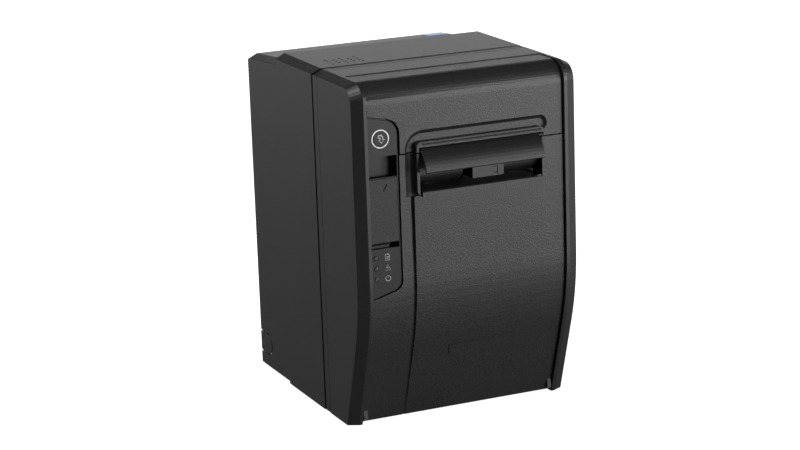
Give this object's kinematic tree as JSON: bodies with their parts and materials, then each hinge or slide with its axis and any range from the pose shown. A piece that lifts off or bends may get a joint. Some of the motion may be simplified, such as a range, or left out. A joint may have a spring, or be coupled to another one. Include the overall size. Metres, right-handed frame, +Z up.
{
  "type": "receipt printer",
  "caption": "Upright front-exit receipt printer with a fold-down roll cover, release lever, visor over the paper slot, status panel, drop-in roll bin and auto cutter.",
  "frame": {"origin": "centre of the footprint, visor included, on the table top", "axes": "+X to the right seen from the front, +Y towards the rear, +Z up"},
  "size_m": [0.148, 0.184, 0.218],
  "materials": {
    "case_plastic": "fine-grained charcoal plastic",
    "cover_plastic": "coarse-grained charcoal plastic",
    "panel_plastic": "smooth satin charcoal plastic",
    "lever_plastic": "grained charcoal plastic",
    "button_plastic": "satin charcoal plastic",
    "visor_plastic": "smooth dark plastic",
    "inner_plastic": "moulded dark plastic",
    "black_plastic": "black plastic",
    "lamp_lens": "smoked clear plastic, unlit",
    "circuit_board": "green solder mask",
    "foot_rubber": "matt black rubber",
    "steel_plate": "zinc-plated sheet",
    "steel_bar": "ground steel",
    "screw_steel": "blackened steel",
    "port_metal": "tinned steel",
    "heatsink_metal": "extruded aluminium",
    "head_ceramic": "glazed ceramic",
    "motor_metal": "dark motor can",
    "gear_plastic": "natural acetal",
    "gear_brass": "turned brass",
    "roller_plastic": "grey acetal",
    "label_film": "pale blue film, unprinted"
  },
  "bodies": {
    "casing": {"front_bezel": "case_plastic", "mid_case": "case_plastic", "rear_skirt": "case_plastic", "upper_fascia": "cover_plastic", "control_panel": "panel_plastic", "base_pan": "inner_plastic", "roll_bin": "inner_plastic", "rear_panel": "inner_plastic", "exit_guide": "inner_plastic", "cutter_bed": "inner_plastic", "power_jack": "black_plastic", "drawer_port": "black_plastic", "power_switch_frame": "black_plastic", "buzzer": "black_plastic", "taken_sensor": "black_plastic", "status_lamps": "lamp_lens", "lamp_board": "circuit_board", "main_board": "circuit_board", "rubber_feet": "foot_rubber", "left_side_plate": "steel_plate", "right_side_plate": "steel_plate", "motor_plate": "steel_plate", "head_spring_bar": "steel_plate", "bin_axles": "steel_bar", "cover_hinge_pins": "steel_bar", "idler_axle": "steel_bar", "head_pivot": "steel_bar", "head_springs": "steel_bar", "case_screws": "screw_steel", "usb_port": "port_metal", "network_port": "port_metal", "serial_port": "port_metal", "feed_motor": "motor_metal", "cutter_motor": "motor_metal", "top_label": "label_film"},
    "lever": {"cover_lever": "lever_plastic"},
    "latch": {"latch_shaft": "steel_bar", "latch_hooks": "steel_plate", "latch_crank": "steel_plate"},
    "button": {"feed_button": "button_plastic"},
    "roll_cover": {"cover_shell": "cover_plastic", "cover_liner": "inner_plastic", "nameplate": "inner_plastic", "counter_blade": "steel_plate", "latch_pins": "steel_bar", "platen_bushings": "gear_plastic"},
    "platen": {"platen_shaft": "steel_bar", "platen_rubber": "foot_rubber", "platen_gear": "gear_plastic"},
    "idler": {"idler_gear": "gear_plastic"},
    "pinion": {"motor_pinion": "gear_brass"},
    "head": {"print_head": "head_ceramic", "head_heatsink": "heatsink_metal"},
    "blade": {"moving_blade": "steel_plate"},
    "blade_drive": {"cutter_pinion": "gear_brass"},
    "visor": {"exit_visor": "visor_plastic"},
    "front_roller": {"bin_roller_front": "roller_plastic"},
    "rear_roller": {"bin_roller_rear": "roller_plastic"},
    "rocker": {"power_rocker": "black_plastic"}
  },
  "joints": [
    {"name": "cover_hinge", "type": "hinge", "parent": "casing", "child": "roll_cover", "pos_m": [0, -0.051, 0.012], "axis": [1, 0, 0], "range_deg": [0, 68]},
    {"name": "lever_slide", "type": "slide", "parent": "casing", "child": "lever", "axis": [0, 0, -1], "range_m": [0, 0.003], "stiffness_N_per_m": 500, "springref_m": -0.001},
    {"name": "latch_turn", "type": "hinge", "parent": "casing", "child": "latch", "pos_m": [0, -0.04, 0.16], "axis": [1, 0, 0], "range_deg": [0, 6]},
    {"name": "button_press", "type": "slide", "parent": "casing", "child": "button", "axis": [0, 1, 0], "range_m": [0, 0.0008], "stiffness_N_per_m": 600, "springref_m": -0.0003},
    {"name": "platen_spin", "type": "hinge", "parent": "roll_cover", "child": "platen", "pos_m": [0, -0.058, 0.13], "axis": [1, 0, 0], "continuous": true},
    {"name": "idler_spin", "type": "hinge", "parent": "casing", "child": "idler", "pos_m": [0, -0.03588, 0.13], "axis": [1, 0, 0], "continuous": true},
    {"name": "pinion_spin", "type": "hinge", "parent": "casing", "child": "pinion", "pos_m": [0, -0.02236, 0.14352], "axis": [1, 0, 0], "continuous": true},
    {"name": "head_tilt", "type": "hinge", "parent": "casing", "child": "head", "pos_m": [0, -0.0456, 0.108], "axis": [-1, 0, 0], "range_deg": [0, 2], "stiffness_Nm_per_rad": 1.5, "springref_deg": -1.15, "deforming": ["head_springs"]},
    {"name": "visor_lift", "type": "hinge", "parent": "casing", "child": "visor", "pos_m": [0, -0.0826, 0.1744], "axis": [-1, 0, 0], "range_deg": [0, 20]},
    {"name": "blade_stroke", "type": "slide", "parent": "casing", "child": "blade", "axis": [0, -1, 0], "range_m": [0, 0.0065]},
    {"name": "blade_drive_turn", "type": "hinge", "parent": "casing", "child": "blade_drive", "pos_m": [-0.0147, -0.0266, 0.144], "axis": [0, 0, 1], "range_deg": [-75, 0]},
    {"name": "front_roller_spin", "type": "hinge", "parent": "casing", "child": "front_roller", "pos_m": [0, -0.0304, 0.01897], "axis": [1, 0, 0], "continuous": true},
    {"name": "rear_roller_spin", "type": "hinge", "parent": "casing", "child": "rear_roller", "pos_m": [0, 0.0185, 0.0211], "axis": [1, 0, 0], "continuous": true},
    {"name": "power_rock", "type": "hinge", "parent": "casing", "child": "rocker", "pos_m": [0.045, 0.069, 0.067], "axis": [1, 0, 0], "range_deg": [-12, 0]}
  ],
  "couplings": [
    {"joint": "latch_turn", "follows": "lever_slide", "rad_per_m": 33.333},
    {"joint": "idler_spin", "follows": "platen_spin", "ratio": -0.83333},
    {"joint": "pinion_spin", "follows": "platen_spin", "ratio": 1.4286},
    {"joint": "blade_drive_turn", "follows": "blade_stroke", "rad_per_m": -192.31}
  ]
}
